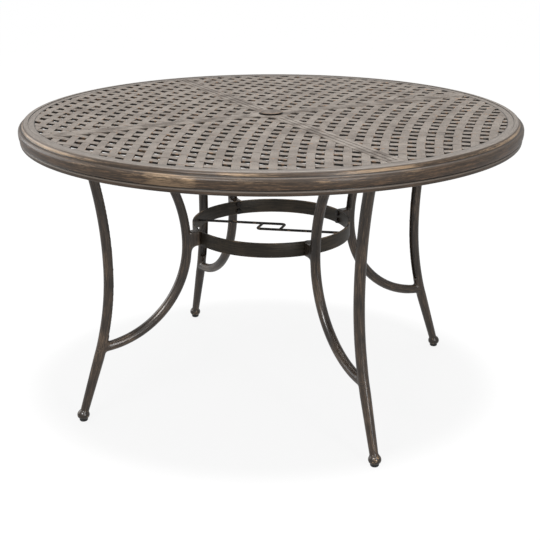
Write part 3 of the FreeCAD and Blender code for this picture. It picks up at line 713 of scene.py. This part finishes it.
def make_post():
    """The outer post, bowed inwards at its waist, with a channel that ends above the brace."""
    rise = math.asin((HEAD_LEVEL + 10 - POST_LEVEL) / POST_UPPER)
    shin = (POST_LEVEL - POST_LOWER * math.sin(SPLAY) - 14.8) / math.cos(SPLAY)
    section = ring(POST_WAIST, POST_RADIUS)
    mouth = channel(POST_WAIST - POST_RADIUS)
    upper_axis, lower_axis = POST_WAIST + POST_UPPER, POST_WAIST + POST_LOWER
    upper = sweep(section, POST_LEVEL, upper_axis, rise, 24)
    subtract(upper, sweep(mouth, POST_LEVEL - 4, upper_axis, rise + 0.02, 24))
    lower = sweep(section, POST_LEVEL, lower_axis, -SPLAY, 24, shin, ANKLE_RADIUS / POST_RADIUS)
    subtract(lower, sweep(mouth, POST_LEVEL + 4, lower_axis, -POST_CHANNEL_TURN, 24))
    return [level_off(upper), lower]


def make_brace():
    """The inner brace: a round bar below the lug, and above it a channel that opens inwards."""
    section = ring(BRACE_WAIST, BRACE_RADIUS)
    upper_axis, lower_axis = BRACE_WAIST + BRACE_UPPER, BRACE_WAIST + BRACE_LOWER
    upper = sweep(section, BRACE_LEVEL, upper_axis, BRACE_UPPER_TURN, 36, 90)
    core = sweep(channel(BRACE_WAIST - BRACE_RADIUS), BRACE_LEVEL, upper_axis, BRACE_UPPER_TURN, 36, 95)
    bpy.ops.object.mode_set(mode="EDIT")
    cut_off(millimetres(0, 0, HOOP_TOP - 3), (0, 0, -1))
    leave_edit()
    subtract(upper, core)
    lower = sweep(section, BRACE_LEVEL, lower_axis, -math.pi / 2, 48)
    return [level_off(upper), lower]


def level_off(piece):
    """Cuts a bar off level at the head plate."""
    take_up(piece)
    bpy.ops.object.mode_set(mode="EDIT")
    cut_off(millimetres(0, 0, HEAD_LEVEL + 3), UP)
    leave_edit()
    return piece


def make_ball():
    """The ball foot, spun about its own axis."""
    points = [(0, 27.5), (10.9, 27.5), (11.3, 25.6), (13.2, 23.6), (14.9, 20.6), (15.5, 17.0),
              (15.4, 14.2), (14.2, 11.0), (12.4, 8.7), (11.0, 7.6), (0, 7.6)]
    draw_section([(FOOT_RADIUS + x, z) for x, z in points])
    swing(32, WHOLE_TURN, millimetres(FOOT_RADIUS, 0, 0), UP)
    bpy.ops.mesh.select_all(action="SELECT")
    bpy.ops.mesh.remove_doubles(threshold=WELD)
    close_ends()
    leave_edit()
    return name_piece("ball")


def make_block(low, high, bevel):
    """A block between two corners, with rounded edges."""
    low, high = Vector(low), Vector(high)
    deselect_all()
    bpy.ops.mesh.primitive_cube_add(size=1, location=(low + high) / 2 * MM, scale=(high - low) * MM)
    piece = name_piece("block")
    bpy.ops.object.mode_set(mode="EDIT")
    bpy.ops.mesh.select_all(action="SELECT")
    bpy.ops.mesh.bevel(offset=bevel * MM, segments=2, affect="EDGES")
    leave_edit()
    return piece


def make_lug():
    """The block that carries the hoop, curved to its seat, and the hollowed web under it."""
    half = 13
    spread = math.degrees(math.asin(half / HOOP_OUTER))
    seat = arc(0, 0, HOOP_OUTER, -spread, spread, 6)
    draw_section(seat + [(BRACE_WAIST - 5, half), (BRACE_WAIST - 5, -half)], flat=True)
    bpy.ops.mesh.select_all(action="SELECT")
    bpy.ops.transform.translate(value=millimetres(0, 0, HOOP_FOOT))
    extrude(millimetres(0, 0, HOOP_HEIGHT))
    close_ends()
    leave_edit()
    block = name_piece("lug")
    hollow, web_start, web_half = 20, HOOP_OUTER + 3, 8
    draw_section(arc(web_start, HOOP_FOOT - hollow, hollow, 90, 8, 8)
                 + [(BRACE_WAIST, HOOP_FOOT - hollow + 3), (BRACE_WAIST, HOOP_FOOT + 2),
                    (web_start, HOOP_FOOT + 2)])
    bpy.ops.mesh.select_all(action="SELECT")
    bpy.ops.transform.translate(value=millimetres(0, -web_half, 0))
    extrude(millimetres(0, 2 * web_half, 0))
    close_ends()
    leave_edit()
    return [block, name_piece("web")]


def bar_place(x, z, waist, level, upper, lower, upper_turn, lower_turn):
    """How far along a bar a point is, and how far out from its middle line, in millimetres."""
    radius, turn, side = (upper, upper_turn, 1) if z > level else (lower, lower_turn, -1)
    spot = Vector((x - waist - radius, side * (z - level)))
    angle = math.atan2(spot.y, -spot.x)
    if angle <= turn:
        return side * radius * angle, radius - spot.length
    past = spot - Vector((-math.cos(turn), math.sin(turn))) * radius
    along = radius * turn + past.dot(Vector((math.sin(turn), math.cos(turn))))
    return side * along, past.dot(Vector((math.cos(turn), -math.sin(turn))))


def soften(piece, weights, iterations):
    """Smooths a casting, each vertex by its own weight."""
    group = piece.vertex_groups.new(name="soft")
    for index, weight in weights:
        group.add([index], weight, "REPLACE")
    apply_modifier(piece, "SMOOTH", factor=0.5, iterations=iterations, vertex_group="soft")
    piece.vertex_groups.clear()


def make_leg():
    """The whole casting as one skin, its joins run together as in a mould."""
    parts = [*make_post(), *make_brace(), make_ball(), *make_lug(),
             make_block((HEAD_INNER, -HEAD_HALF_WIDTH, HEAD_LEVEL),
                        (HEAD_OUTER, HEAD_HALF_WIDTH, HEAD_LEVEL + HEAD_THICKNESS), 1.5)]
    leg = join("leg", parts)
    apply_modifier(leg, "REMESH", mode="VOXEL", voxel_size=CASTING_GRAIN * MM, use_smooth_shade=True)
    apply_modifier(leg, "SMOOTH", factor=0.5, iterations=12)
    crotch, web_foot = millimetres(*CROTCH), millimetres(*WEB_FOOT)
    near = []
    for vertex in leg.data.vertices:
        flat = Vector((vertex.co.x, 0, vertex.co.z))
        depth = max(1 - (flat - crotch).length / (36 * MM), 1 - (flat - web_foot).length / (20 * MM))
        if depth > 0:
            near.append((vertex.index, min(1, depth * 2)))
    soften(leg, near, 45)
    own_place = leg.data.attributes.new("casting", "FLOAT_VECTOR", "POINT")
    for vertex, own in zip(leg.data.vertices, own_place.data):
        x, y, z = vertex.co / MM
        post = bar_place(x, z, POST_WAIST, POST_LEVEL, POST_UPPER, POST_LOWER, 1, SPLAY)
        brace = bar_place(x, z, BRACE_WAIST, BRACE_LEVEL, BRACE_UPPER, BRACE_LOWER, BRACE_UPPER_TURN, 2)
        along, out = min(brace, post, key=lambda place: abs(place[1]))
        own.vector = millimetres(along + (NEXT_GRAIN if (along, out) == brace else 0), out, y)
    return leg


# Small pieces
def make_glide():
    """The glide under a ball foot."""
    points = [(0, 0), (7.2, 0), (9.0, 0.8), (10.1, 2.4), (10.4, 4.4), (10.4, 7.4), (0, 7.4)]
    return turn_on_lathe("glide", points, 32, 40, FOOT_RADIUS)


def make_hoop():
    """The flat band, its edges eased."""
    ease = 1.1
    points = arc(HOOP_OUTER - ease, HOOP_TOP - ease, ease, 0, 90, 3)
    points += arc(HOOP_INNER + ease, HOOP_TOP - ease, ease, 90, 180, 3)
    points += arc(HOOP_INNER + ease, HOOP_FOOT + ease, ease, 180, 270, 3)
    points += arc(HOOP_OUTER - ease, HOOP_FOOT + ease, ease, 270, 360, 3)
    return turn_on_lathe("stretcher_band", points, 128)


def make_rod(name, degrees):
    """A guide rod: in from the hoop, then bent round to meet its twin."""
    half, reach, offset, radius, bend = 29, HOOP_INNER + 0.5, -3, 3.25, 8
    start = Vector((-reach, offset, HOOP_LEVEL))
    corner = Vector((half, half, HOOP_LEVEL))
    way = (corner - start).normalized()
    slant = math.atan2(way.y, way.x)
    turn = math.pi / 2 + slant
    cut_back = bend * math.tan(turn / 2)
    run = (corner - start).length - cut_back
    deselect_all()
    bpy.ops.mesh.primitive_circle_add(vertices=20, radius=radius * MM, location=start * MM,
                                      rotation=(0, math.pi / 2, slant))
    bpy.ops.object.mode_set(mode="EDIT")
    bpy.ops.mesh.select_all(action="SELECT")
    extrude(way * run * MM)
    bend_start = start + way * run
    centre = bend_start + Vector((math.sin(slant), -math.cos(slant), 0)) * bend
    swing(12, -turn, centre * MM, UP)
    after_bend = corner + Vector((0, -cut_back, 0))
    twin_y = 2 * half * (half - offset) / (half + reach) - half
    extrude(Vector((0, twin_y + radius - 1 - after_bend.y, 0)) * MM)
    close_ends()
    leave_edit()
    rod = name_piece(name)
    rod.data.transform(turned(degrees))
    bpy.ops.object.shade_smooth_by_angle(angle=math.radians(50))
    return rod


def make_bolt(flats, head, radius, grip, washer):
    """A hex bolt on the Z axis with its seat at zero: head and washer below, shank above."""
    deselect_all()
    bpy.ops.mesh.primitive_cylinder_add(vertices=6, radius=flats / 2 / math.cos(math.pi / 6) * MM,
                                        depth=head * MM, location=millimetres(0, 0, -head / 2))
    hexagon = name_piece("head")
    bpy.ops.object.mode_set(mode="EDIT")
    bpy.ops.mesh.select_all(action="SELECT")
    bpy.ops.mesh.bevel(offset=0.5 * MM, segments=2, affect="EDGES")
    leave_edit()
    pieces = [hexagon]
    bpy.ops.mesh.primitive_cylinder_add(vertices=20, radius=radius * MM, depth=grip * MM,
                                        location=millimetres(0, 0, grip / 2))
    pieces.append(name_piece("shank"))
    if washer:
        bpy.ops.mesh.primitive_cylinder_add(vertices=28, radius=washer * MM, depth=1.0 * MM,
                                            location=millimetres(0, 0, -0.5))
        pieces.append(name_piece("washer"))
    return join("bolt", pieces)


def make_bolts(name, bolt, seats):
    """Copies of one bolt at their seats, as one piece."""
    copies = [copy_of(bolt, f"{name}_{k}", seat) for k, seat in enumerate(seats)]
    delete(bolt)
    piece = join(name, copies)
    bpy.ops.object.shade_smooth_by_angle(angle=math.radians(30))
    return piece


# Camera, light and floor
def softbox(name, place, target, width, height, power):
    light_data = bpy.data.lights.new(name, "AREA")
    light_data.shape = "RECTANGLE"
    light_data.size = width
    light_data.size_y = height
    light_data.energy = power
    light = bpy.data.objects.new(name, light_data)
    light.location = place
    light.rotation_euler = (Vector(target) - Vector(place)).to_track_quat("-Z", "Y").to_euler()
    bpy.context.scene.collection.objects.link(light)


def set_the_stage():
    """The camera at the photograph's angle, four softboxes, a pale room and a white floor."""
    camera_data = bpy.data.cameras.new("camera")
    camera_data.lens = 73.69
    camera_data.sensor_width = 36
    camera = bpy.data.objects.new("camera", camera_data)
    camera.location = (0.8461, -2.5575, 1.2455)
    azimuth, pitch, roll = math.radians(108.38), math.radians(19.13), math.radians(-0.17)
    level = math.cos(pitch)
    way = Vector((math.cos(azimuth) * level, math.sin(azimuth) * level, -math.sin(pitch)))
    camera.rotation_euler = (way.to_track_quat("-Z", "Y") @ Quaternion(UP, roll)).to_euler()
    bpy.context.scene.collection.objects.link(camera)
    bpy.context.scene.camera = camera

    softbox("overhead", (0.0, 0.4, 3.2), (0, 0, 0.5), 3.0, 3.0, 96)
    softbox("left", (-3.4, 0.2, 1.6), (0, 0, 0.6), 2.6, 2.2, 40)
    softbox("front", (-0.5, -3.1, 2.5), (0, 0, 0.5), 1.3, 0.6, 56)
    softbox("front_right", (2.3, -2.1, 1.5), (0, 0, 0.4), 0.5, 2.4, 40)

    world = bpy.data.worlds.new("studio")
    world.use_nodes = True
    nodes, links = world.node_tree.nodes, world.node_tree.links
    room = nodes["Background"]
    room.inputs["Color"].default_value = (1, 1, 1, 1)
    room.inputs["Strength"].default_value = 0.48
    backdrop = nodes.new("ShaderNodeBackground")
    backdrop.inputs["Color"].default_value = (1, 1, 1, 1)
    backdrop.inputs["Strength"].default_value = 1.0
    seen = nodes.new("ShaderNodeLightPath")
    either = nodes.new("ShaderNodeMixShader")
    links.new(seen.outputs["Is Camera Ray"], either.inputs[0])
    links.new(room.outputs[0], either.inputs[1])
    links.new(backdrop.outputs[0], either.inputs[2])
    links.new(either.outputs[0], nodes["World Output"].inputs["Surface"])
    bpy.context.scene.world = world
    bpy.context.scene.view_settings.view_transform = "Standard"

    deselect_all()
    bpy.ops.mesh.primitive_plane_add(size=60, location=(0, 0, 0))
    floor = name_piece("floor")
    floor.data.materials.append(floor_finish())
    floor.visible_diffuse = False
    floor.visible_glossy = False


set_the_stage()

settle(make_rim(), "table", "bronze_rim", "top_rim")
make_lattice()
settle(make_cap(), "cap", "bronze_cap", "hole_cap")
for corner in CORNERS:
    give_finish(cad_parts[f"spoke_{corner}"], "bronze_spoke")
give_finish(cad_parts["centre_hub"], "bronze_spoke")

leg = make_leg()
glide = make_glide()
for corner, degrees in CORNERS.items():
    cast_leg = copy_of(leg, f"cast_leg_{corner}", turned(degrees))
    settle(cast_leg, "table", "bronze_leg", f"leg_{corner}")
    foot_glide = copy_of(glide, f"foot_glide_{corner}", turned(degrees))
    settle(foot_glide, "table", "black_plastic", f"glide_{corner}")
delete(leg)
delete(glide)

settle(make_hoop(), "table", "bronze_hoop", "stretcher_hoop")
settle(make_rod("pole_rod_left", 0), "table", "bronze_rod", "guide_rod_left")
settle(make_rod("pole_rod_right", 180), "table", "bronze_rod", "guide_rod_right")

hoop_seats = []
leg_seats = []
for degrees in CORNERS.values():
    for rise in BAND_BOLT_RISES:
        seat = Matrix.Translation(millimetres(HOOP_INNER, 0, HOOP_LEVEL + rise))
        hoop_seats.append(turned(degrees) @ seat @ Matrix.Rotation(math.pi / 2, 4, "Y"))
    for radius in HEAD_BOLT_RADII:
        leg_seats.append(turned(degrees) @ Matrix.Translation(millimetres(radius, 0, HEAD_LEVEL)))
band_bolts = make_bolts("band_bolts", make_bolt(**BAND_BOLT), hoop_seats)
settle(band_bolts, "table", "dark_bolt", "hoop_bolts")
head_bolts = make_bolts("head_bolts", make_bolt(**HEAD_BOLT), leg_seats)
settle(head_bolts, "table", "dark_bolt", "leg_bolts")
